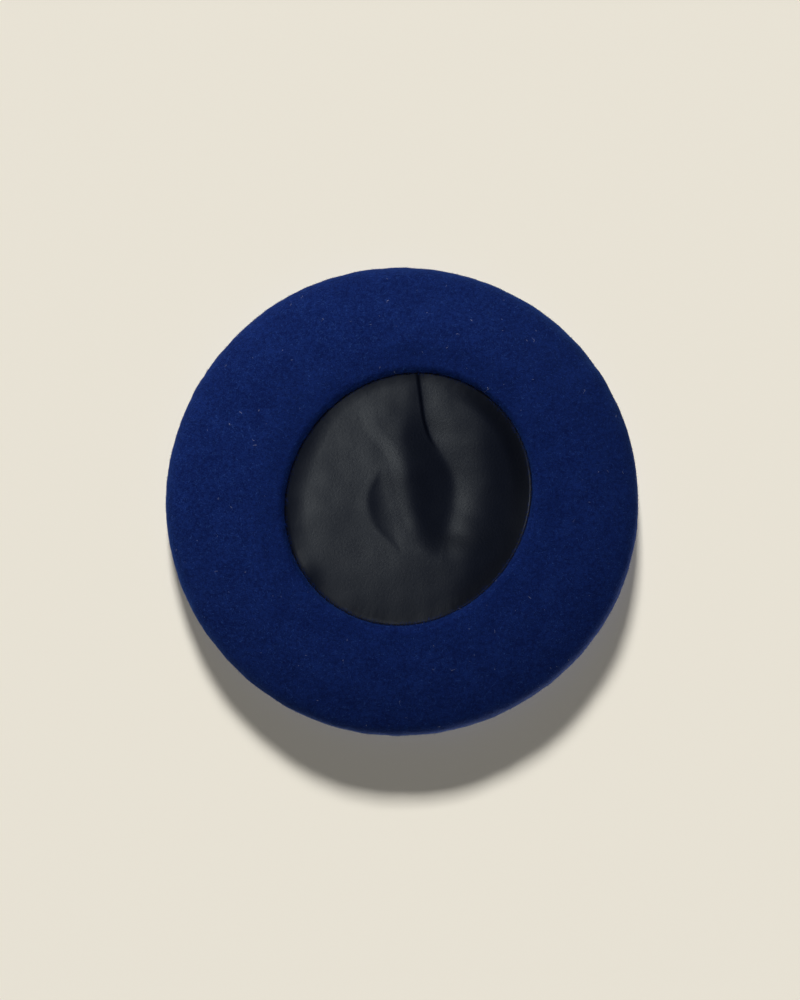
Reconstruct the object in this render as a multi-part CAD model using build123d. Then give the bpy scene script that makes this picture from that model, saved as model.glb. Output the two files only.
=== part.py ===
from build123d import *
import os
from math import atan2, degrees

# A wool beret with a satin lining, standing crown up. Millimetres.
# The origin is the centre of the head opening, in the plane of the ring that the beret rests on.
# +Z is up through the crown and its stalk, and +Y is the back, where the tape and the elastic are joined.

# Driving dimensions
BERET_DIAMETER = 280.0
CROWN_HEIGHT = 52.0
OPENING_RADIUS = 73.5  # inner wall of the turned hem, before it is stretched over a head
FELT = 2.4  # thickness of the fulled wool

# Felt: every stretch of its cross-section is an arc or a line that meets the next one in a tangent
RIM_RADIUS = 15.0
RIM_CENTRE = (BERET_DIAMETER / 2 - RIM_RADIUS, 25.0)
LIP_RADIUS = 4.6  # the rolled fold round the head opening
LIP_CENTRE = (OPENING_RADIUS + LIP_RADIUS, LIP_RADIUS)
REST_OUTER_RADIUS = 84.0  # outer edge of the flat ring that the felt rests on
HEM_HEIGHT = 13.0  # the turned hem stands up to here inside the opening

# Headband: tape on the inner face of the turned hem, elastic on its hidden outer face
TAPE = 0.8
TAPE_LOW, TAPE_HIGH = 4.8, 12.3
ELASTIC = 0.8
ELASTIC_LOW, ELASTIC_HIGH = 5.4, 11.4
JOIN_GAP = 0.5  # between the two butted ends of the tape, and of the elastic, at the back

# Lining: a shallow satin pan, hung from the top edge of the hem
SATIN = 0.5
LINING_RADIUS = 72.4
LINING_EDGE_HEIGHT = 14.0
LINING_TOP_HEIGHT = 23.0
LINING_SHOULDER_RADIUS = 7.0

# Stalk at the centre of the crown
STALK_FOOT_RADIUS = 2.6
STALK_TIP_RADIUS = 1.9
STALK_LENGTH = 19.0  # from the pivot to the end
STALK_GAP = 0.2  # between the crown and the stalk's round foot
STALK_PIVOT = CROWN_HEIGHT + STALK_GAP + STALK_FOOT_RADIUS

# Sewing
THREAD_RADIUS = 0.25
STITCH_LENGTH = 3.0
TAPE_STITCHES = 96
TAPE_STITCH_HEIGHT = 5.7
LINING_STITCHES = 84
JOIN_STITCHES = 4
STALK_STITCHES = 8
STALK_STITCH_RING = 4.0
DART_STITCHES = 7
DART_START = Vector(-7.5, 61.0)  # at the back of the lining
DART_END = Vector(-11.5, 37.0)


def section(*edges):
    """The closed outline's face, in the plane of the axis: first coordinate outwards, second one up."""
    return Plane.XZ * make_face(list(edges))


def dome_radius(rim_centre, rim_radius, top):
    """Radius of the sphere on the axis that reaches the top and runs into the rim in a tangent."""
    drop = top - rim_centre[1]
    return (rim_centre[0] ** 2 + drop**2 - rim_radius**2) / (2 * (drop - rim_radius))


def dome_angle(rim_centre, sphere_radius, top):
    """Angle above the horizontal, seen from the sphere's centre, at which the rim begins."""
    return degrees(atan2(rim_centre[1] - top + sphere_radius, rim_centre[0]))


def felt_outline(inset):
    """Crown, rim, underside, lip and hem, at a depth below the felt's outer surface."""
    crown = dome_radius(RIM_CENTRE, RIM_RADIUS, CROWN_HEIGHT)
    crown_angle = dome_angle(RIM_CENTRE, crown, CROWN_HEIGHT)
    out = RIM_CENTRE[0] - REST_OUTER_RADIUS
    underside = dome_radius((out, -RIM_CENTRE[1]), RIM_RADIUS, 0)
    under_angle = -dome_angle((out, -RIM_CENTRE[1]), underside, 0)
    return [
        CenterArc((0, CROWN_HEIGHT - crown), crown - inset, crown_angle, 90 - crown_angle),
        CenterArc(RIM_CENTRE, RIM_RADIUS - inset, under_angle, crown_angle - under_angle),
        CenterArc((REST_OUTER_RADIUS, underside), underside - inset, -90, under_angle + 90),
        Line((REST_OUTER_RADIUS, inset), (LIP_CENTRE[0], inset)),
        CenterArc(LIP_CENTRE, LIP_RADIUS - inset, 180, 90),
        Line((OPENING_RADIUS + inset, LIP_CENTRE[1]), (OPENING_RADIUS + inset, HEM_HEIGHT)),
    ]


def felt_shell():
    """One seamless piece: crown, rim, underside, and the hem turned up inside the opening."""
    hem_end = Line((OPENING_RADIUS, HEM_HEIGHT), (OPENING_RADIUS + FELT, HEM_HEIGHT))
    at_axis = Line((0, CROWN_HEIGHT - FELT), (0, CROWN_HEIGHT))
    return revolve(section(*felt_outline(0), hem_end, *felt_outline(FELT), at_axis), Axis.Z)


def crown_stalk():
    """The short felt stalk, with a round foot that turns about the pivot just above the crown."""
    foot = STALK_FOOT_RADIUS
    tip = STALK_TIP_RADIUS
    tip_height = STALK_PIVOT + STALK_LENGTH - tip
    outline = section(
        Line((0, STALK_PIVOT - foot), (0, tip_height + tip)),
        CenterArc((0, STALK_PIVOT), foot, -90, 90),
        Line((foot, STALK_PIVOT), (tip, tip_height)),
        CenterArc((0, tip_height), tip, 0, 90),
    )
    return revolve(outline, Axis.Z)


def lining_outline(inset):
    """The lining's dome and shoulder, from the axis to its edge, at a depth below its upper face."""
    shoulder = (LINING_RADIUS - LINING_SHOULDER_RADIUS, LINING_EDGE_HEIGHT)
    dome = dome_radius(shoulder, LINING_SHOULDER_RADIUS, LINING_TOP_HEIGHT)
    angle = dome_angle(shoulder, dome, LINING_TOP_HEIGHT)
    return [
        CenterArc((0, LINING_TOP_HEIGHT - dome), dome - inset, angle, 90 - angle),
        CenterArc(shoulder, LINING_SHOULDER_RADIUS - inset, 0, angle),
    ]


def lining():
    """The satin, as thick as the cloth and its seam allowance together."""
    edge = Line((LINING_RADIUS - SATIN, LINING_EDGE_HEIGHT), (LINING_RADIUS, LINING_EDGE_HEIGHT))
    at_axis = Line((0, LINING_TOP_HEIGHT - SATIN), (0, LINING_TOP_HEIGHT))
    return revolve(section(*lining_outline(0), edge, *lining_outline(SATIN), at_axis), Axis.Z)


def joined_band(inner, outer, low, high):
    """A band round the opening, with a narrow gap at the back where its two ends meet."""
    outline = Polyline((inner, low), (outer, low), (outer, high), (inner, high), close=True)
    gap = Pos(0, outer, (low + high) / 2) * Box(JOIN_GAP, outer, high - low)
    return revolve(section(*outline.edges()), Axis.Z) - gap


def join_stitches(radius, low, high):
    """Stitches one above another across a band's join, at the back."""
    bar = Rot(0, 90, 0) * Cylinder(THREAD_RADIUS, STITCH_LENGTH)
    step = (high - low) / JOIN_STITCHES
    return Compound([Pos(0, radius, low + (i + 0.5) * step) * bar for i in range(JOIN_STITCHES)])


def ring_of_stitches(radius, height, count):
    """Separate stitches, each one a short piece of thread that follows the circle."""
    sweep = degrees(STITCH_LENGTH / radius)
    stitch = revolve(Plane.XZ * Pos(radius, height) * Circle(THREAD_RADIUS), Axis.Z, sweep)
    return Compound([Rot(0, 0, 360 * i / count) * stitch for i in range(count)])


def stalk_stitches():
    """The star of thread on the inner face of the crown, half sunk in the felt, that holds the stalk."""
    spoke = Pos(STALK_STITCH_RING, 0, CROWN_HEIGHT - FELT) * Rot(0, 90, 0)
    spoke *= Cylinder(THREAD_RADIUS, STITCH_LENGTH)
    return Compound([Rot(0, 0, 360 * i / STALK_STITCHES) * spoke for i in range(STALK_STITCHES)])


def dart_stitches():
    """Stitches along the dart that takes up the lining's slack, half sunk in its hidden upper face."""
    shoulder = (LINING_RADIUS - LINING_SHOULDER_RADIUS, LINING_EDGE_HEIGHT)
    dome = dome_radius(shoulder, LINING_SHOULDER_RADIUS, LINING_TOP_HEIGHT)
    centre = Vector(0, 0, LINING_TOP_HEIGHT - dome)
    run = DART_END - DART_START
    stitches = []
    for i in range(DART_STITCHES):
        below = DART_START + run * ((i + 0.5) / DART_STITCHES)
        height = centre.Z + (dome**2 - below.length**2) ** 0.5
        place = Vector(below.X, below.Y, height)
        bar = Rot(0, 90, 0) * Cylinder(THREAD_RADIUS, STITCH_LENGTH)
        stitches.append(Plane(place, x_dir=run, z_dir=place - centre) * bar)
    return Compound(stitches)


TAPE_FACE = OPENING_RADIUS - TAPE
HEM_BACK = OPENING_RADIUS + FELT
PARTS = {
    "felt_shell": felt_shell(),
    "crown_stalk": crown_stalk(),
    "stalk_stitches": stalk_stitches(),
    "headband_tape": joined_band(TAPE_FACE, OPENING_RADIUS, TAPE_LOW, TAPE_HIGH),
    "tape_stitches": ring_of_stitches(TAPE_FACE + THREAD_RADIUS, TAPE_STITCH_HEIGHT, TAPE_STITCHES),
    "tape_join_stitches": join_stitches(TAPE_FACE + THREAD_RADIUS, TAPE_STITCH_HEIGHT, TAPE_HIGH),
    "hem_elastic": joined_band(HEM_BACK, HEM_BACK + ELASTIC, ELASTIC_LOW, ELASTIC_HIGH),
    "elastic_join_stitches": join_stitches(HEM_BACK + ELASTIC / 2, ELASTIC_LOW, ELASTIC_HIGH),
    "lining": lining(),
    "lining_stitches": ring_of_stitches(OPENING_RADIUS + FELT / 2, HEM_HEIGHT, LINING_STITCHES),
    "dart_stitches": dart_stitches(),
}

os.makedirs("parts", exist_ok=True)
for name, shape in PARTS.items():
    export_step(shape, f"parts/{name}.step")
    print(name, "volume", round(shape.volume, 1), "mm3")
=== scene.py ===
from math import ceil, cos, pi, radians, sin, sqrt

import bpy
import numpy as np
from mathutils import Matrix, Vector


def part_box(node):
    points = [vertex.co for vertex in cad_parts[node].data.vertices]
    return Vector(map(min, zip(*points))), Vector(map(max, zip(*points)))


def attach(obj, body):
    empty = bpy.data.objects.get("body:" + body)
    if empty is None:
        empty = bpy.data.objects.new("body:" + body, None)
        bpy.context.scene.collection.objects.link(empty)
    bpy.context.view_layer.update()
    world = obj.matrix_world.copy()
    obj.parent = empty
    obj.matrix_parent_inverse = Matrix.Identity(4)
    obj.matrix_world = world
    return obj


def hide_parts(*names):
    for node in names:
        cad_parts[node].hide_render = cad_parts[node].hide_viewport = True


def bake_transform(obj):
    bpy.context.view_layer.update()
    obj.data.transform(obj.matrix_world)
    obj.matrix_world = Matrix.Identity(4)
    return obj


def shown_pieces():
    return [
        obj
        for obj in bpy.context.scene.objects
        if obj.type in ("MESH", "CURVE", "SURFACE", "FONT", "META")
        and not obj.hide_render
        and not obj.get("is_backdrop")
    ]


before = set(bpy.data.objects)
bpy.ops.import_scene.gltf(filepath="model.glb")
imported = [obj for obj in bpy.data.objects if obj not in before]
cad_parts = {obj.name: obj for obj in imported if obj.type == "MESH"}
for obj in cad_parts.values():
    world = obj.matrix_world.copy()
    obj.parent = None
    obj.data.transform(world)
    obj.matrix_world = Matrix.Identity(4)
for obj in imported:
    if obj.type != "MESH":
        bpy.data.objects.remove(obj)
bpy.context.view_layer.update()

MM = 0.001

# ---------------------------------------------------------------------------------------------
# The hat's measures, in millimetres, in the CAD model's frame: +Z up through the crown, +Y the back
# ---------------------------------------------------------------------------------------------
BERET_DIAMETER = 280.0
CROWN_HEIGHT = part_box("felt_shell")[1].z / MM
OPENING_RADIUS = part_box("headband_tape")[1].x / MM
TAPE_LOW, TAPE_HIGH = (corner.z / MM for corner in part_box("headband_tape"))
ELASTIC_LOW, ELASTIC_HIGH = (corner.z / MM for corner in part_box("hem_elastic"))
STALK_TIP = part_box("crown_stalk")[1].z / MM
FELT = 2.4
TAPE = 0.8
RIM_RADIUS = 15.0
RIM_CENTRE = (BERET_DIAMETER / 2 - RIM_RADIUS, 25.0)
LIP_RADIUS = 4.6
LIP_CENTRE = (OPENING_RADIUS + LIP_RADIUS, LIP_RADIUS)
REST_OUTER_RADIUS = 84.0  # outer edge of the flat ring that the hat rests on
RIM_START = 128.0  # from here outwards the plate's waves have their full height
HEM_HEIGHT = 13.0
UNDERSIDE_TOP = 20.0  # above this height a point belongs to the crown's half of the hat
CROWN_BOTTOM = 32.0

# How the soft felt has settled out of round
PLATE_SHIFT = (3.5, -1.7)  # the plate's centre, seen from the centre of the opening
OPENING_STRETCH = 3.2  # the opening is longer by this, each way, along its long axis
OPENING_LONG_AXIS = radians(127)
PLATE_LOBES = ((2, 0.64, 0.6), (3, 0.15, 1.9), (5, 0.19, 0.4))  # waves round the rim, height, phase
RIM_DROOP = ((2, 1.3, 2.1), (3, 0.9, 0.7))  # the same, up and down

rng = np.random.default_rng(7)


def rise(value, low, high):
    """0 up to low, 1 from high, and a smooth step between them."""
    share = np.clip((value - low) / (high - low), 0, 1)
    return share * share * (3 - 2 * share)


def bump(distance, width):
    """A smooth hump of height 1 at distance 0."""
    return np.exp(-((distance / width) ** 2))


def waves(points, wavelength, seed, count=32):
    """A smooth random field of about unit height, with features about half a wavelength across."""
    random = np.random.default_rng(seed)
    heading = random.normal(size=(count, points.shape[-1]))
    heading /= np.linalg.norm(heading, axis=1, keepdims=True)
    pace = 2 * pi / wavelength * random.uniform(0.6, 1.5, (count, 1))
    phase = random.uniform(0, 2 * pi, count)
    return np.cos(points @ (heading * pace).T + phase).sum(-1) * sqrt(2 / count)


def settle(points):
    """Moves points of the round CAD shape to where the soft hat's felt and bands really lie."""
    x, y, z = points[..., 0], points[..., 1], points[..., 2]
    r = np.hypot(x, y)
    around = np.arctan2(y, x)
    upper = rise(z, UNDERSIDE_TOP, CROWN_BOTTOM)
    outer = rise(r, REST_OUTER_RADIUS, RIM_START) * (1 - upper) + rise(r, 15, 125) * upper
    stretch = OPENING_STRETCH * np.cos(2 * (around - OPENING_LONG_AXIS))
    stretch *= np.minimum(r / OPENING_RADIUS, 1) * (1 - rise(r, REST_OUTER_RADIUS, RIM_START)) * (1 - upper)
    lobes = sum(height * np.cos(n * around + phase) for n, height, phase in PLATE_LOBES)
    droop = sum(height * np.cos(n * around + phase) for n, height, phase in RIM_DROOP)
    out = stretch + outer * lobes
    moved = points.copy()
    moved[..., 0] += out * np.cos(around) + PLATE_SHIFT[0] * outer
    moved[..., 1] += out * np.sin(around) + PLATE_SHIFT[1] * outer
    flat = np.stack([x, y], -1)
    sag = 0.35 * waves(flat, 95, 1) * rise(r, 80, 110) * (1 - upper) + 0.7 * waves(flat, 120, 2) * upper
    sag *= rise(r, 0, 30)
    moved[..., 2] += sag + droop * rise(r, 90, 135)
    return moved


# ---------------------------------------------------------------------------------------------
# Meshes
# ---------------------------------------------------------------------------------------------
def mesh_object(name, points, faces, material, smooth=True):
    """A mesh object from points in millimetres."""
    mesh = bpy.data.meshes.new(name)
    mesh.from_pydata((np.asarray(points, float).reshape(-1, 3) * MM).tolist(), [], faces)
    mesh.validate()
    mesh.polygons.foreach_set("use_smooth", [smooth] * len(mesh.polygons))
    mesh.materials.append(material)
    piece = bpy.data.objects.new(name, mesh)
    bpy.context.scene.collection.objects.link(piece)
    return piece


def grid_faces(rows, columns, first=0, round_columns=True):
    """Quads over a grid of points, row by row, closed round where asked."""
    index = first + np.arange(rows * columns).reshape(rows, columns)
    if round_columns:
        index = np.column_stack([index, index[:, 0]])
    corners = [index[:-1, :-1], index[:-1, 1:], index[1:, 1:], index[1:, :-1]]
    return np.stack([c.ravel() for c in corners], 1).tolist()


def fan(ring, centre, flip=False):
    """Triangles from a ring of point numbers to a centre point."""
    pairs = zip(ring, np.roll(ring, -1))
    return [(b, a, centre) if flip else (a, b, centre) for a, b in pairs]


def grid_normals(points):
    """Unit normals of a grid of points that is closed round its columns."""
    down = np.gradient(points, axis=0)
    along = np.roll(points, -1, axis=1) - np.roll(points, 1, axis=1)
    normal = np.cross(along, down)
    return normal / np.maximum(np.linalg.norm(normal, axis=-1, keepdims=True), 1e-9)


def arc(centre, radius, start, end, step):
    """Points along an arc between two angles in degrees, about a step apart."""
    count = max(3, ceil(abs(radians(end - start)) * radius / step) + 1)
    angles = np.radians(np.linspace(start, end, count))
    return np.column_stack([centre[0] + radius * np.cos(angles), centre[1] + radius * np.sin(angles)])


def line(start, end, step):
    """Points along a straight line, about a step apart."""
    length = np.hypot(end[0] - start[0], end[1] - start[1])
    return np.linspace(start, end, max(2, ceil(length / step) + 1))


def chain(*stretches):
    """One outline from stretches that meet end to end."""
    return np.vstack([stretches[0], *[s[1:] for s in stretches[1:]]])


def turned(outline, columns):
    """A grid of points: an outline of (outward, up) turned about the axis."""
    angles = np.linspace(0, 2 * pi, columns, endpoint=False)
    r, z = outline[:, :1], outline[:, 1:]
    return np.stack([r * np.cos(angles), r * np.sin(angles), z + 0 * angles], -1)


# ---------------------------------------------------------------------------------------------
# Materials
# ---------------------------------------------------------------------------------------------
class Nodes:
    """A material's node tree, with short calls to add nodes and join them."""

    def __init__(self, name):
        self.material = bpy.data.materials.new(name)
        self.material.use_nodes = True
        self.tree = self.material.node_tree
        self.shader = self.tree.nodes["Principled BSDF"]
        self.place = self.add("ShaderNodeTexCoord").outputs["Object"]

    def add(self, kind, settings=(), **inputs):
        """A node with its settings, and its inputs as values or joined; _2 is the third input."""
        node = self.tree.nodes.new(kind)
        for key, value in dict(settings).items():
            setattr(node, key, value)
        for key, value in inputs.items():
            socket = node.inputs[int(key[1:])] if key[1:].isdigit() else node.inputs[key.replace("_", " ")]
            if isinstance(value, bpy.types.NodeSocket):
                self.tree.links.new(value, socket)
            else:
                socket.default_value = value
        return node

    def join(self, output, socket):
        """Joins an output to one of the shader's sockets."""
        self.tree.links.new(output, self.shader.inputs[socket])

    def noise(self, size, detail=2.0, roughness=0.5, place=None):
        """A noise from 0 to 1 whose features are about a size across, in millimetres."""
        node = self.add("ShaderNodeTexNoise", Scale=1 / (size * MM), Detail=detail, Roughness=roughness)
        self.tree.links.new(place or self.place, node.inputs["Vector"])
        return node.outputs["Fac"]

    def math(self, operation, a, b=0.0):
        """The result of an operation on one or two values."""
        return self.add("ShaderNodeMath", {"operation": operation}, _0=a, _1=b).outputs[0]

    def stretch(self, value, low, high):
        """The value spread so that low becomes 0 and high becomes 1."""
        node = self.add("ShaderNodeMapRange", {"interpolation_type": "SMOOTHSTEP"}, Value=value)
        node.inputs["From Min"].default_value = low
        node.inputs["From Max"].default_value = high
        return node.outputs["Result"]

    def mix(self, share, a, b):
        """Colour a where the share is 0 and colour b where it is 1."""
        node = self.add("ShaderNodeMix", {"data_type": "RGBA"})
        for socket, value in ((0, share), (6, a), (7, b)):
            if isinstance(value, bpy.types.NodeSocket):
                self.tree.links.new(value, node.inputs[socket])
            else:
                node.inputs[socket].default_value = value if socket == 0 else (*value, 1)
        return node.outputs[2]

    def bump(self, height, depth, under=None):
        """A bump of a depth in millimetres, on top of another one if given."""
        node = self.add("ShaderNodeBump", Height=height, Strength=1.0, Distance=depth * MM)
        if under is not None:
            self.tree.links.new(under, node.inputs["Normal"])
        return node.outputs["Normal"]

    def set(self, **values):
        """Sets the shader's own sockets, and gives the finished material."""
        for key, value in values.items():
            self.shader.inputs[key.replace("_", " ")].default_value = value
        return self.material


def felt_material(name, dark, light, nap):
    """Fulled wool: matted fibres in noise of several sizes, and a soft nap that catches light."""
    n = Nodes(name)
    fibre = n.noise(0.8, 3, 0.7)
    tuft = n.noise(2.2, 3, 0.6)
    cloud = n.noise(16, 2, 0.5)
    mottle = n.math("ADD", n.math("MULTIPLY", fibre, 0.50), n.math("MULTIPLY", tuft, 0.36))
    mottle = n.math("ADD", mottle, n.math("MULTIPLY", cloud, 0.14))
    n.join(n.mix(n.stretch(mottle, 0.37, 0.66), dark, light), "Base Color")
    fine = n.bump(n.noise(0.35, 3, 0.7), 0.16)
    n.join(n.bump(n.noise(1.6, 3, 0.6), 0.45, fine), "Normal")
    return n.set(Roughness=0.92, Specular_IOR_Level=0.08, Sheen_Weight=nap, Sheen_Roughness=0.45,
                 Sheen_Tint=(0.045, 0.15, 0.50, 1))


def satin_material():
    """Warp-faced satin: near black, with a soft gloss broken by the fine lie of its yarns."""
    n = Nodes("charcoal_satin")
    cloud = n.noise(14, 3, 0.5)
    n.join(n.mix(cloud, (0.0007, 0.0016, 0.0066), (0.0018, 0.0032, 0.0090)), "Base Color")
    lie = n.add("ShaderNodeMapping", Vector=n.place, Scale=(1.0, 0.16, 1.0)).outputs[0]
    yarns = n.bump(n.noise(0.22, 2, 0.6, lie), 0.016)
    n.join(n.bump(n.noise(1.3, 3, 0.7), 0.11, yarns), "Normal")
    return n.set(Roughness=0.49, Specular_IOR_Level=0.5)


def thread_material(name, colour):
    """Twisted thread: a little lighter along each ply."""
    n = Nodes(name)
    darker = tuple(0.5 * c for c in colour)
    n.join(n.mix(n.stretch(n.noise(0.3, 2), 0.35, 0.65), darker, colour), "Base Color")
    n.join(n.bump(n.noise(0.12, 2), 0.03), "Normal")
    return n.set(Roughness=0.8, Specular_IOR_Level=0.15)


def tape_material(name, colour):
    """Ribbed tape: matt yarn with dust-fine variation."""
    n = Nodes(name)
    darker = tuple(0.55 * c for c in colour)
    n.join(n.mix(n.stretch(n.noise(0.9, 3), 0.3, 0.7), darker, colour), "Base Color")
    n.join(n.bump(n.noise(0.16, 2), 0.03), "Normal")
    return n.set(Roughness=0.85, Specular_IOR_Level=0.12)


NAVY_DARK = (0.0015, 0.0075, 0.065)
NAVY_LIGHT = (0.0065, 0.0240, 0.148)
navy_felt = felt_material("navy_felt", NAVY_DARK, NAVY_LIGHT, 0.35)
stalk_felt = felt_material("stalk_felt", NAVY_DARK, NAVY_LIGHT, 0.35)
navy_fuzz = felt_material("navy_fuzz", (0.003, 0.014, 0.10), (0.010, 0.036, 0.20), 0.2)
frost_wool = felt_material("frost_wool", (0.012, 0.045, 0.19), (0.050, 0.115, 0.38), 0.2)
lint_wool = felt_material("lint_wool", (0.10, 0.13, 0.26), (0.30, 0.33, 0.45), 0.1)
satin = satin_material()
black_tape = tape_material("black_tape", (0.0045, 0.0055, 0.009))
elastic_braid = tape_material("elastic_braid", (0.035, 0.035, 0.04))
black_thread = thread_material("black_thread", (0.012, 0.013, 0.018))
navy_thread = thread_material("navy_thread", (0.010, 0.022, 0.10))
grey_thread = thread_material("elastic_thread", (0.3, 0.3, 0.3))


# ---------------------------------------------------------------------------------------------
# Felt
# ---------------------------------------------------------------------------------------------
def dome(rim_centre, rim_radius, top):
    """Radius of the sphere on the axis that runs into the rim, and the angle at which it does."""
    drop = top - rim_centre[1]
    radius = (rim_centre[0] ** 2 + drop**2 - rim_radius**2) / (2 * (drop - rim_radius))
    return radius, float(np.degrees(np.arctan2(rim_centre[1] - top + radius, rim_centre[0])))


def felt_outline(inset, coarse):
    """Crown, rim, underside, lip and hem at a depth below the surface, from the axis to the hem's end."""
    crown, crown_angle = dome(RIM_CENTRE, RIM_RADIUS, CROWN_HEIGHT)
    out = RIM_CENTRE[0] - REST_OUTER_RADIUS
    underside, under_angle = dome((out, -RIM_CENTRE[1]), RIM_RADIUS, 0)
    wall = OPENING_RADIUS + inset
    return chain(
        arc((0, CROWN_HEIGHT - crown), crown - inset, 90, crown_angle, 2.6 * coarse),
        arc(RIM_CENTRE, RIM_RADIUS - inset, crown_angle, -under_angle, 1.5 * coarse),
        arc((REST_OUTER_RADIUS, underside), underside - inset, -under_angle, -90, 2.0 * coarse),
        line((REST_OUTER_RADIUS, inset), (LIP_CENTRE[0], inset), 1.2 * coarse),
        arc(LIP_CENTRE, LIP_RADIUS - inset, 270, 180, 0.7 * coarse),
        line((wall, LIP_CENTRE[1]), (wall, HEM_HEIGHT - FELT / 2), 1.4 * coarse),
    )


FELT_COLUMNS = 500  # points round the hat


def make_felt():
    """The seamless felt: one closed skin. Returns the points and normals of its outside."""
    outside = felt_outline(0, 1)
    hem_end = arc((OPENING_RADIUS + FELT / 2, HEM_HEIGHT - FELT / 2), FELT / 2, 180, 0, 0.8)
    outline = chain(outside, hem_end, felt_outline(FELT, 2.2)[::-1])
    grid = turned(outline[1:-1], FELT_COLUMNS)
    points = settle(grid)
    normal = -grid_normals(points)
    rows = len(outside) - 1
    lumps = 0.09 * waves(points[:rows], 17, 3) + 0.05 * waves(points[:rows], 7, 4)
    pull = 0.9 * bump(np.hypot(grid[:rows, :, 0], grid[:rows, :, 1]), 4.5)
    points[:rows] += normal[:rows] * lumps[..., None]
    points[:rows, :, 2] += np.where(grid[:rows, :, 2] > CROWN_BOTTOM, pull, 0)
    faces = grid_faces(*points.shape[:2])
    count = points.shape[0] * FELT_COLUMNS
    poles = [(0, 0, points[0, 0, 2]), (0, 0, points[-1, 0, 2])]
    faces += fan(np.arange(FELT_COLUMNS), count, flip=True)
    faces += fan(np.arange(count - FELT_COLUMNS, count), count + 1)
    piece = mesh_object("felt_beret", np.vstack([points.reshape(-1, 3), poles]), faces, navy_felt)
    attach(piece, "hat")
    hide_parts("felt_shell")
    return points[:rows], normal[:rows]


def scatter(points, normals, count):
    """Places spread evenly over a grid surface, with the normal at each one."""
    a, b = points[:-1], points[1:]
    across = np.roll(a, -1, axis=1) - a
    area = np.linalg.norm(np.cross(across, b - a), axis=-1).ravel()
    chosen = rng.choice(area.size, count, p=area / area.sum())
    row, column = np.divmod(chosen, points.shape[1])
    u, v = rng.random((2, count, 1))
    step = (column + 1) % points.shape[1]
    base = (1 - v) * ((1 - u) * points[row, column] + u * points[row, step])
    base += v * ((1 - u) * points[row + 1, column] + u * points[row + 1, step])
    return base, normals[row, column]


def fibres(name, base, normal, length, width, lift, material, curl=0.6):
    """Short bent fibres, each one a tapering ribbon of two faces that leaves the surface and lies over."""
    count = len(base)
    heading = np.cross(normal, rng.normal(size=(count, 3)))
    heading /= np.linalg.norm(heading, axis=1, keepdims=True)
    veer = np.cross(normal, heading) * rng.normal(0, curl, (count, 1))
    reach = length[:, None]
    middle = base + reach * (0.5 * heading + lift[:, None] * normal)
    tip = base + reach * (0.85 * heading + 0.5 * veer + 1.4 * lift[:, None] * normal)
    side = np.cross(heading, normal) + 0.5 * rng.normal(size=(count, 3))
    side *= width / 2 / np.linalg.norm(side, axis=1, keepdims=True)
    root = base - 0.1 * normal
    points = np.stack([root - side, root + side, middle + 0.8 * side, middle - 0.8 * side, tip], 1)
    first = 5 * np.arange(count)[:, None]
    faces = (first + [0, 1, 2, 3]).tolist() + (first + [3, 2, 4]).tolist()
    return mesh_object(name, points, faces, material)


def fur(name, surface, count, length, lift, width, material, curl=0.6):
    """Fibres spread over a surface, their lengths and lifts drawn evenly between two limits each."""
    base, normal = scatter(*surface, count)
    lengths, lifts = rng.uniform(*length, count), rng.uniform(*lift, count)
    return fibres(name, base, normal, lengths, width, lifts, material, curl)


def make_fuzz(points, normals):
    """The nap's loose ends, pale lint, hairs that stand out on the lip, and coarser ends that lie flat."""
    near_lip = (points[..., 2] < 6) & (np.hypot(points[..., 0], points[..., 1]) < REST_OUTER_RADIUS + 3)
    first = int(np.argmax(near_lip.any(axis=1)))
    whole = points, normals
    lip = points[first:], normals[first:]
    inner_roll = points[-14:-6], normals[-14:-6]
    tufts = (
        fur("felt_nap", whole, 60000, (0.7, 2.2), (0.08, 0.42), 0.07, navy_fuzz),
        fur("felt_lint", whole, 300, (0.45, 3.1), (0.02, 0.2), 0.28, lint_wool, curl=1.2),
        fur("lip_nap", lip, 14000, (0.8, 2.8), (0.25, 0.9), 0.09, navy_fuzz),
        fur("lip_fringe", inner_roll, 9000, (0.3, 0.9), (0.5, 1.0), 0.10, navy_fuzz),
        fur("felt_frost", whole, 16000, (1.0, 3.2), (0.03, 0.12), 0.14, frost_wool, curl=1.0),
    )
    for piece in tufts:
        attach(piece, "hat")


# ---------------------------------------------------------------------------------------------
# Lining
# ---------------------------------------------------------------------------------------------
LINING_EDGE = OPENING_RADIUS + 1.6
LINING_DEPTH = 16.2  # height of the slack satin over most of the opening
SATIN = 0.3

# Lines of the folds as seen from below: places towards the back, and how far right the line is there
LONG_FOLD_RIDGE = ((-50, -38, -29, -19, -1, 17, 35, 56, 78), (18, 14, 9, 4, 0, 0, -3, -1, 3))
LONG_FOLD_CREASE = (
    (-50, -29, -19, -8, 4, 14, 24, 34, 46, 78),
    (19, 22, 24.2, 26.8, 27.5, 25.5, 20, 13, 9.5, 5.5),
)
RIGHT_SIDE = ((-75, -56, -41, -25, 10, 35, 75), (27, 31, 34, 39, 46, 44, 34))
SWELL = ((-30, -18, 0, 14, 24, 33, 43, 52, 75), (13, 4.5, -3, -4.5, -7, -14, -23, -25, -25))
DENT_EDGE = ((-32, -24, -15, -3, 5, 13, 22), (-3, -11, -19.5, -24, -24, -20, -14))


def fold_line(line, v):
    """How far right a fold's line is at each place v: a smooth curve near the line's points."""
    places, right = line
    spots = np.linspace(-6, 6, 7)
    weights = bump(spots, 4)
    return sum(w * np.interp(v + spot, places, right) for spot, w in zip(spots, weights)) / weights.sum()


def ramp(distance, softness):
    """0 on the left of a line and the distance to it on the right, turning gently over the softness."""
    return softness * np.logaddexp(0, distance / softness)


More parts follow.
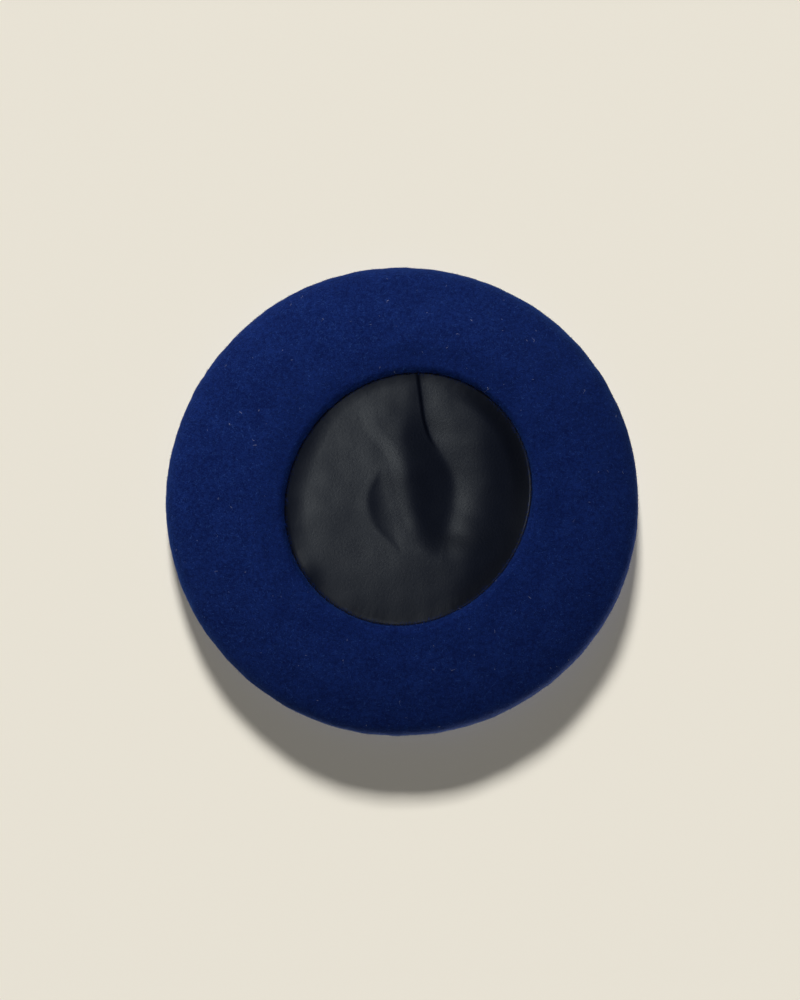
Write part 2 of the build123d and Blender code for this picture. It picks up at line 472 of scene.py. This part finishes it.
def lining_height(x, y):
    """Height of the slack satin. It is worked out as seen from below: u to the right, v towards the back."""
    u, v = -x, y
    r = np.hypot(u, v)
    flat = np.stack([u, v], -1)
    height = LINING_DEPTH + 0 * u
    # the long fold, which fades out at both ends: right of its ridge the satin goes up into the crown as far
    # as its crease, and beyond that it comes down a little
    ridge = fold_line(LONG_FOLD_RIDGE, v)
    crease = fold_line(LONG_FOLD_CREASE, v)
    side = fold_line(RIGHT_SIDE, v)
    beyond = np.clip(u - crease, 0, 24)
    reach = rise(v, -43 - 0.7 * beyond, -20) * (1 - 0.6 * rise(v, 34, 56))
    fall = ramp(u - ridge, 1.8) - ramp(u - crease, 1.0 + 0.8 * rise(-v, -20, 10))
    strip = ramp(u - crease, 1.6) - ramp(u - side, 3)
    height += reach * (0.29 * fall - 0.038 * strip)
    # a low swell to the left of the fold
    swell = u - fold_line(SWELL, v)
    height -= 0.6 * rise(swell, -6, 6) * (1 - rise(swell, 6, 40)) * rise(v, -32, -14) * (1 - rise(v, 52, 68))
    # the tuck sewn at the back: a crease that starts at the edge
    height += 0.9 * rise(u - crease, -1.8, 0.4) * (1 - rise(u - crease, 0.4, 16)) * rise(v, 26, 42)
    # the right side lies deeper, the front a little too, and a spot at the lower left hangs down
    height += 0.24 * ramp(u - side, 3.6)
    height += 0.0009 * np.minimum(v - 5, 0) ** 2
    height -= 2.9 * bump(np.hypot(u + 61, v + 45), 9.5)
    # the small dent: widest half way along, steepest at its left edge, and slow to come back
    inside = u - fold_line(DENT_EDGE, v)
    wide = 14 * np.maximum(1 - ((v + 7) / 27) ** 2, 0) ** 2
    dent = 1 - np.clip(1 - ramp(inside, 0.8) / (wide + 0.5), 0, 1) ** 2
    height += 0.135 * wide * dent * (1 - rise(inside, 15, 60))
    height += 0.16 * waves(flat, 60, 5) + 0.035 * waves(flat, 20, 6)
    # along the edge it rises on the far right, and comes down on the left, at the back and at the lower left
    right, back = u / np.maximum(r, 1), v / np.maximum(r, 1)
    far = rise(right + back, 0.7, 1.3) * rise(right, 0.2, 0.6)
    height += 1.5 * far * rise(r, OPENING_RADIUS - 12, OPENING_RADIUS + 1)
    height += 0.05 * ramp(u - crease, 3) * rise(v, 34, 58)
    left = rise(-right, 0.55, 0.97)
    width = 0.11 + 0.07 * left
    brim = np.maximum(r / (OPENING_RADIUS + 0.8) - 1 + width, 0) / width
    height -= (0.7 + 1.8 * left + 0.7 * rise(back, 0.8, 1)) * brim**2 * rise(back - right, 0.25, 1.0)
    last = np.maximum(r - OPENING_RADIUS + 2.6, 0) / 3.4
    height -= 0.9 * last**2 * rise(-right - back, 0.95, 1.3)
    # behind the tape it drops to its sewn edge
    edge = rise(r, OPENING_RADIUS + 0.8, LINING_EDGE - 0.1)
    gather = 0.025 * np.cos(np.arctan2(v, u) * 60 + 2 * waves(flat, 40, 8)) * rise(r, 64, 73)
    return (height + gather) * (1 - edge) + (HEM_HEIGHT + 0.4) * edge


def disc(radius, across):
    """A square grid of points pressed round into a disc, evenly spaced."""
    a, b = np.meshgrid(np.linspace(-1, 1, across), np.linspace(-1, 1, across), indexing="ij")
    wide = np.abs(a) > np.abs(b)
    reach = np.where(wide, a, b)
    share = np.divide(np.where(wide, b, a), reach, out=np.zeros_like(a), where=reach != 0)
    turn = np.where(wide, pi / 4 * share, pi / 2 - pi / 4 * share)
    return radius * np.stack([reach * np.cos(turn), reach * np.sin(turn)], -1)


def on_lining(x, y, height):
    """Points of the satin or on it: however deep they lie, they have settled sideways with the hem."""
    points = settle(np.stack([x, y, HEM_HEIGHT + 0 * x], -1))
    points[..., 2] += height - HEM_HEIGHT
    return points


def make_lining():
    """The satin, one sheet with its raw edge over the hem's end."""
    across = 215
    flat = disc(LINING_EDGE, across)
    lower = on_lining(flat[..., 0], flat[..., 1], lining_height(flat[..., 0], flat[..., 1]))
    down, along = np.gradient(lower, axis=0), np.gradient(lower, axis=1)
    normal = np.cross(down, along)
    normal *= np.sign(normal[..., 2:]) / np.linalg.norm(normal, axis=-1, keepdims=True)
    points = np.vstack([lower.reshape(-1, 3), (lower + SATIN * normal).reshape(-1, 3)])
    count = across**2
    faces = grid_faces(across, across, round_columns=False)
    faces += [face[::-1] for face in grid_faces(across, across, count, round_columns=False)]
    index = np.arange(count).reshape(across, across)
    border = np.concatenate([index[0, :-1], index[:-1, -1], index[-1, :0:-1], index[:0:-1, 0]]).tolist()
    faces += [(b, a, a + count, b + count) for a, b in zip(border, border[1:] + border[:1])]
    piece = mesh_object("satin_lining", points, faces, satin)
    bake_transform(piece)
    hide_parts("lining")
    return piece


# ---------------------------------------------------------------------------------------------
# Headband and sewing
# ---------------------------------------------------------------------------------------------
THREAD = 0.2
TAPE_STITCHES = 96
LINING_STITCHES = 84
JOIN_STITCHES = 4


def rest_on(piece, body, node):
    """The piece rides on the body and stands for the CAD node."""
    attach(piece, body)
    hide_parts(node)


def make_band(node, name, material, inner, thickness, low, high, pitch):
    """A woven band with raised ribs across it, its two ends butted at the back."""
    outer = inner + thickness
    middle = inner + thickness / 2
    ribs = round(2 * pi * inner / pitch)
    gap = 0.25 / inner
    angles = np.linspace(pi / 2 + gap, 2.5 * pi - gap, ribs * 4 + 1)
    hem = 0.35
    face = np.linspace(low + hem, high - hem, 6)
    outline = [(inner, z) for z in face] + [(middle, high), *[(outer, z) for z in face[::-1]], (middle, low)]
    across, up = np.hsplit(np.array(outline), 2)
    rib = np.cos(ribs * angles)
    r = across + 0.10 * np.sign(across - middle) * rib
    z = up + 0.08 * np.sign(up - (low + high) / 2) * rib
    points = np.stack([r * np.cos(angles), r * np.sin(angles), z], -1).transpose(1, 0, 2)
    rows, columns = points.shape[:2]
    faces = grid_faces(rows, columns)
    faces += [tuple(range(columns)), tuple(range(rows * columns - 1, (rows - 1) * columns - 1, -1))]
    rest_on(mesh_object(name, settle(points), faces, material), "hat", node)


def make_threads(node, name, material, paths, radius, body="hat", settled=True):
    """Lengths of two-ply thread along paths that all have the same number of points."""
    paths = settle(paths) if settled else paths
    count, steps = paths.shape[:2]
    ahead = np.gradient(paths, axis=1)
    ahead /= np.linalg.norm(ahead, axis=-1, keepdims=True)
    side = np.cross(ahead, (0.31, 0.27, 0.91))
    side /= np.linalg.norm(side, axis=-1, keepdims=True)
    other = np.cross(ahead, side)
    corners = np.linspace(0, 2 * pi, 8, endpoint=False)
    turns = np.linspace(0, 3.2 * pi, steps)[:, None]
    taper = np.sqrt(np.clip(1 - np.abs(np.linspace(-1, 1, steps)) ** 6, 0.05, 1))[:, None]
    reach = (radius * taper * (1 + 0.22 * np.cos(2 * corners - turns)))[..., None]
    ring = np.cos(corners)[:, None] * side[:, :, None] + np.sin(corners)[:, None] * other[:, :, None]
    points = paths[:, :, None] + reach * ring
    each = steps * len(corners)
    faces = []
    for i in range(count):
        faces += grid_faces(steps, len(corners), i * each)
        end = (i + 1) * each - 1
        faces.append(tuple(range(i * each, i * each + len(corners))))
        faces.append(tuple(range(end, end - len(corners), -1)))
    rest_on(mesh_object(name, points, faces, material), body, node)


def make_headband():
    """Tape and elastic on the two faces of the hem, and the thread that holds them."""
    face = OPENING_RADIUS - TAPE
    name = "headband_tape"
    make_band(name, "grosgrain_tape", black_tape, face, TAPE, TAPE_LOW, TAPE_HIGH, 0.9)
    back = OPENING_RADIUS + FELT
    low, high = ELASTIC_LOW, ELASTIC_HIGH
    make_band("hem_elastic", "braided_elastic", elastic_braid, back, TAPE, low, high, 1.3)
    t = np.linspace(-1, 1, 9)
    dive = 0.45 * t**4

    height = TAPE_LOW + 0.9
    around = (np.arange(TAPE_STITCHES)[:, None] + 0.31 * t) * 2 * pi / TAPE_STITCHES
    lie = face - 0.12 + dive
    paths = np.stack([lie * np.cos(around), lie * np.sin(around), height + 0 * around], -1)
    make_threads("tape_stitches", "tape_thread", black_thread, paths, THREAD)

    rows = np.linspace(height + 0.9, TAPE_HIGH - 0.7, JOIN_STITCHES)[:, None]
    across = np.stack([1.5 * t + 0 * rows, lie + 0 * rows, rows + 0.35 * t], -1)
    make_threads("tape_join_stitches", "tape_join_thread", black_thread, across, THREAD)
    rows = np.linspace(low + 0.8, high - 0.8, JOIN_STITCHES)[:, None]
    behind = back + TAPE + 0.12 - dive
    across = np.stack([1.5 * t + 0 * rows, behind + 0 * rows, rows + 0.35 * t], -1)
    name = "elastic_join_stitches"
    make_threads(name, "elastic_join_thread", grey_thread, across, THREAD)

    around = (np.arange(LINING_STITCHES)[:, None] + 0.25 * t) * 2 * pi / LINING_STITCHES
    over = OPENING_RADIUS + 1.1 + 1.2 * t
    arch = HEM_HEIGHT + 0.9 * (1 - t**4)
    paths = np.stack([over * np.cos(around), over * np.sin(around), arch + 0 * around], -1)
    make_threads("lining_stitches", "lining_thread", black_thread, paths, THREAD)


def make_hidden_threads():
    """The star of thread that holds the stalk inside the crown, and the row along the lining's dart."""
    t = np.linspace(-1, 1, 9)
    ways = (np.arange(8) * pi / 4)[:, None]
    out = 4.0 + 1.5 * t
    height = CROWN_HEIGHT - FELT - 0.15 + 0.4 * t**4
    star = np.stack([out * np.cos(ways), out * np.sin(ways), height + 0 * ways], -1)
    make_threads("stalk_stitches", "stalk_thread", navy_thread, star, 0.22)

    places = np.linspace(37, 61, 7)[:, None] + 1.4 * t
    right = fold_line(LONG_FOLD_CREASE, places)
    lie = lining_height(-right, places) + 0.42 - 0.3 * t**4
    row = on_lining(-right, places, lie)
    name = "dart_stitches"
    make_threads(name, "dart_thread", black_thread, row, 0.18, "lining", settled=False)


# ---------------------------------------------------------------------------------------------
# Stalk
# ---------------------------------------------------------------------------------------------
STALK_ROWS, STALK_COLUMNS = 44, 56  # the rows are those below its rounded tip


def make_stalk():
    """A rolled nub of felt that grows out of the crown, leans a little and ends in a blunt tip."""
    base = CROWN_HEIGHT - 1.0
    cap = 1.75
    tip_start = STALK_TIP - 0.5 - cap
    turn = np.linspace(0, pi / 2, 12)[1:-1]
    height = np.concatenate([np.linspace(base, tip_start, STALK_ROWS), tip_start + cap * np.sin(turn)])
    share = (height - base) / (STALK_TIP - base)
    radius = 2.15 - 0.35 * share + 3.4 * np.exp(-(height - base) / 1.5)
    radius[STALK_ROWS:] *= np.cos(turn)
    angles = np.linspace(0, 2 * pi, STALK_COLUMNS, endpoint=False)
    lean = 1.5 * share**2 - 0.5 * np.sin(share * 5)
    points = np.stack([
        radius[:, None] * np.cos(angles) + lean[:, None],
        radius[:, None] * np.sin(angles) - 0.6 * lean[:, None],
        height[:, None] + 0 * angles,
    ], -1)
    normal = grid_normals(points)
    rolled = 0.14 * waves(points, 5, 11) + 0.06 * waves(points, 2.2, 12)
    points += normal * (rolled * (1 - rise(share, 0.86, 1))[:, None])[..., None]
    count = points.shape[0] * STALK_COLUMNS
    tip = points[-1].mean(0) + (0, 0, 0.15)
    faces = grid_faces(*points.shape[:2]) + fan(np.arange(count - STALK_COLUMNS, count), count)
    stalk = mesh_object("felt_stalk", np.vstack([points.reshape(-1, 3), [tip]]), faces, stalk_felt)
    halfway = STALK_ROWS // 2
    outward = normal * np.sign((normal[halfway] * (points[halfway] - points[halfway].mean(0))).sum())
    fuzz = fur("stalk_nap", (points[:-2], outward[:-2]), 1500, (0.5, 1.5), (0.1, 0.5), 0.06, navy_fuzz)
    for piece in (stalk, fuzz):
        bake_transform(piece)
    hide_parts("crown_stalk")


# ---------------------------------------------------------------------------------------------
# Stage, light and camera
# ---------------------------------------------------------------------------------------------
PALE = (0.813, 0.768, 0.667)
VIEW_PLANE = RIM_CENTRE[1] * MM  # height of the widest part of the rim
VIEW_HEIGHT = 0.5957  # what the camera sees there from top to bottom, in metres
VIEW_CENTRE = (0.0048, -0.0006)  # where the camera looks, seen from the centre of the opening
AIR = 0.5  # how much of the light from above comes from all round
LENS, SENSOR = 85.0, 36.0
BACKDROP_HEIGHT = 0.0312
HORIZON = -0.05  # the lowest direction that pale air comes from


def one_sided(name, colour):
    """Matt paint that is seen only from the side that the surface faces."""
    n = Nodes(name)
    n.set(Base_Color=(*colour, 1), Roughness=1.0, Specular_IOR_Level=0.0)
    clear = n.add("ShaderNodeBsdfTransparent").outputs[0]
    back = n.add("ShaderNodeNewGeometry").outputs["Backfacing"]
    shown = n.add("ShaderNodeMixShader", _0=back, _1=n.shader.outputs[0], _2=clear).outputs[0]
    n.tree.links.new(shown, n.tree.nodes["Material Output"].inputs["Surface"])
    return n.material


def stage_ring(name, outline, material, smooth):
    """A piece of the stage, round the axis between two points in metres, that only the camera sees."""
    columns = 64
    points = turned(np.array(outline) / MM, columns)
    piece = mesh_object(name, points, grid_faces(2, columns), material, smooth)
    piece.visible_shadow = piece.visible_diffuse = piece.visible_glossy = False
    piece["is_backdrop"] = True
    return piece


def make_floor():
    """The pale floor, seen from above."""
    stage_ring("floor", ((6.0, 0.0), (0.0, 0.0)), one_sided("floor", PALE), smooth=False)


def make_backdrop():
    """The pale backdrop behind the hat, seen from below, with a hole that the hat hides."""
    outline = ((0.11, BACKDROP_HEIGHT), (2.0, BACKDROP_HEIGHT))
    return stage_ring("backdrop", outline, one_sided("backdrop", PALE), smooth=False)


def aim(obj, towards):
    """Turns a lamp to face a point."""
    obj.rotation_mode = "QUATERNION"
    obj.rotation_quaternion = (Vector(towards) - obj.location).to_track_quat("-Z", "Y")


def area_light(name, place, towards, size, power, colour, lit, past=None):
    """A square softbox that lights one collection, and whose shadows may come from another one alone."""
    data = bpy.data.lights.new(name, "AREA")
    data.size, data.energy, data.color = size, power, colour
    lamp = bpy.data.objects.new(name, data)
    lamp.location = place
    lamp.visible_camera = False
    bpy.context.scene.collection.objects.link(lamp)
    aim(lamp, towards)
    lamp.light_linking.receiver_collection = lit
    if past:
        lamp.light_linking.blocker_collection = past
    return lamp


def sun(name, direction, power, angle, lit=None, shadow=True):
    """A distant lamp, for everything or for one collection."""
    data = bpy.data.lights.new(name, "SUN")
    data.energy, data.angle = power, angle
    data.use_shadow = shadow
    lamp = bpy.data.objects.new(name, data)
    bpy.context.scene.collection.objects.link(lamp)
    aim(lamp, direction)
    if lit:
        lamp.light_linking.receiver_collection = lit


def make_wall():
    """A pale wall far away all round, for the camera alone."""
    n = Nodes("wall")
    glow = n.add("ShaderNodeEmission", Color=(*PALE, 1), Strength=1.0).outputs[0]
    n.tree.links.new(glow, n.tree.nodes["Material Output"].inputs["Surface"])
    stage_ring("wall", ((6.0, -2.0), (6.0, 5.0)), n.material, smooth=True)


def only(name, pieces):
    """A collection of these objects alone, for a lamp."""
    collection = bpy.data.collections.new(name)
    for piece in pieces:
        collection.objects.link(piece)
    return collection


def make_lamps(satin_piece, backdrop):
    """Softboxes below for the felt and the satin, lamps for the drop shadow, and a soft key above."""
    wool = only("all_but_satin", [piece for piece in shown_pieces() if piece != satin_piece])
    silk = only("satin_only", [satin_piece])
    paper = only("backdrop_only", [backdrop])

    middle = (0, 0, 0.01)
    area_light("felt_front", (0.15, 0.25, -1.30), middle, 0.7, 4.7, (1.0, 0.99, 0.97), wool)
    area_light("felt_key", (0.68, 0.97, -0.80), middle, 0.7, 17.3, (1.0, 0.98, 0.95), wool)
    area_light("felt_edge", (-1.10, -0.45, -0.40), middle, 0.5, 2.6, (1.0, 0.99, 0.97), wool)
    area_light("satin_key", (0.78, 0.16, -1.22), middle, 0.7, 17.0, (0.925, 0.995, 1.0), silk, silk)
    area_light("satin_fill", (-0.2, 0.0, -1.30), middle, 1.3, 0.8, (0.15, 0.33, 1.0), silk)

    # the drop shadow on the backdrop: one wide lamp far towards the back of the hat, and a shadowless fill
    tilt = radians(67.3)
    far = 100.0
    share = 0.79
    place = (0.069 * far, far * sin(tilt), -far * cos(tilt))
    power = share * pi**2 * far**2 / cos(tilt)
    lamp = area_light("backdrop_key", place, (0, 0, BACKDROP_HEIGHT), 0.20 * far, power, (1, 1, 1), paper)
    lamp.data.shape = "RECTANGLE"
    lamp.data.size_y = 0.08 * far
    sun("backdrop_fill", (0, 0, 1), (1 - share) * pi, 0.1, paper, shadow=False)

    # from above: a soft key, which leaves the rest to the pale air all round
    slant = Vector((0.5, 0.75, -1.0)).normalized()
    sun("top_key", slant, (1 - AIR) * pi / -slant.z, radians(24))


def make_world():
    """Pale air above the horizon and darkness below it."""
    world = bpy.data.worlds.new("studio")
    bpy.context.scene.world = world
    world.use_nodes = True
    tree = world.node_tree
    place = tree.nodes.new("ShaderNodeTexCoord").outputs["Generated"]
    split = tree.nodes.new("ShaderNodeSeparateXYZ")
    tree.links.new(place, split.inputs[0])
    above = tree.nodes.new("ShaderNodeMath")
    above.operation = "GREATER_THAN"
    above.inputs[1].default_value = HORIZON
    tree.links.new(split.outputs["Z"], above.inputs[0])
    tree.links.new(above.outputs[0], tree.nodes["Background"].inputs["Strength"])
    tree.nodes["Background"].inputs["Color"].default_value = (AIR, AIR, AIR, 1)


def make_camera():
    """Looks straight into the head opening from below, with the hat's back at the top of the picture."""
    data = bpy.data.cameras.new("camera")
    data.lens, data.sensor_width = LENS, SENSOR
    camera = bpy.data.objects.new("camera", data)
    bpy.context.scene.collection.objects.link(camera)
    distance = VIEW_HEIGHT * LENS / SENSOR
    camera.location = (*VIEW_CENTRE, VIEW_PLANE - distance)
    camera.rotation_euler = (0, pi, 0)
    bpy.context.scene.camera = camera


felt_points, felt_normals = make_felt()
make_fuzz(felt_points, felt_normals)
lining_piece = make_lining()
make_headband()
make_hidden_threads()
make_stalk()
make_wall()
make_floor()
make_lamps(lining_piece, make_backdrop())
make_world()
make_camera()
bpy.context.scene.view_settings.view_transform = "Standard"
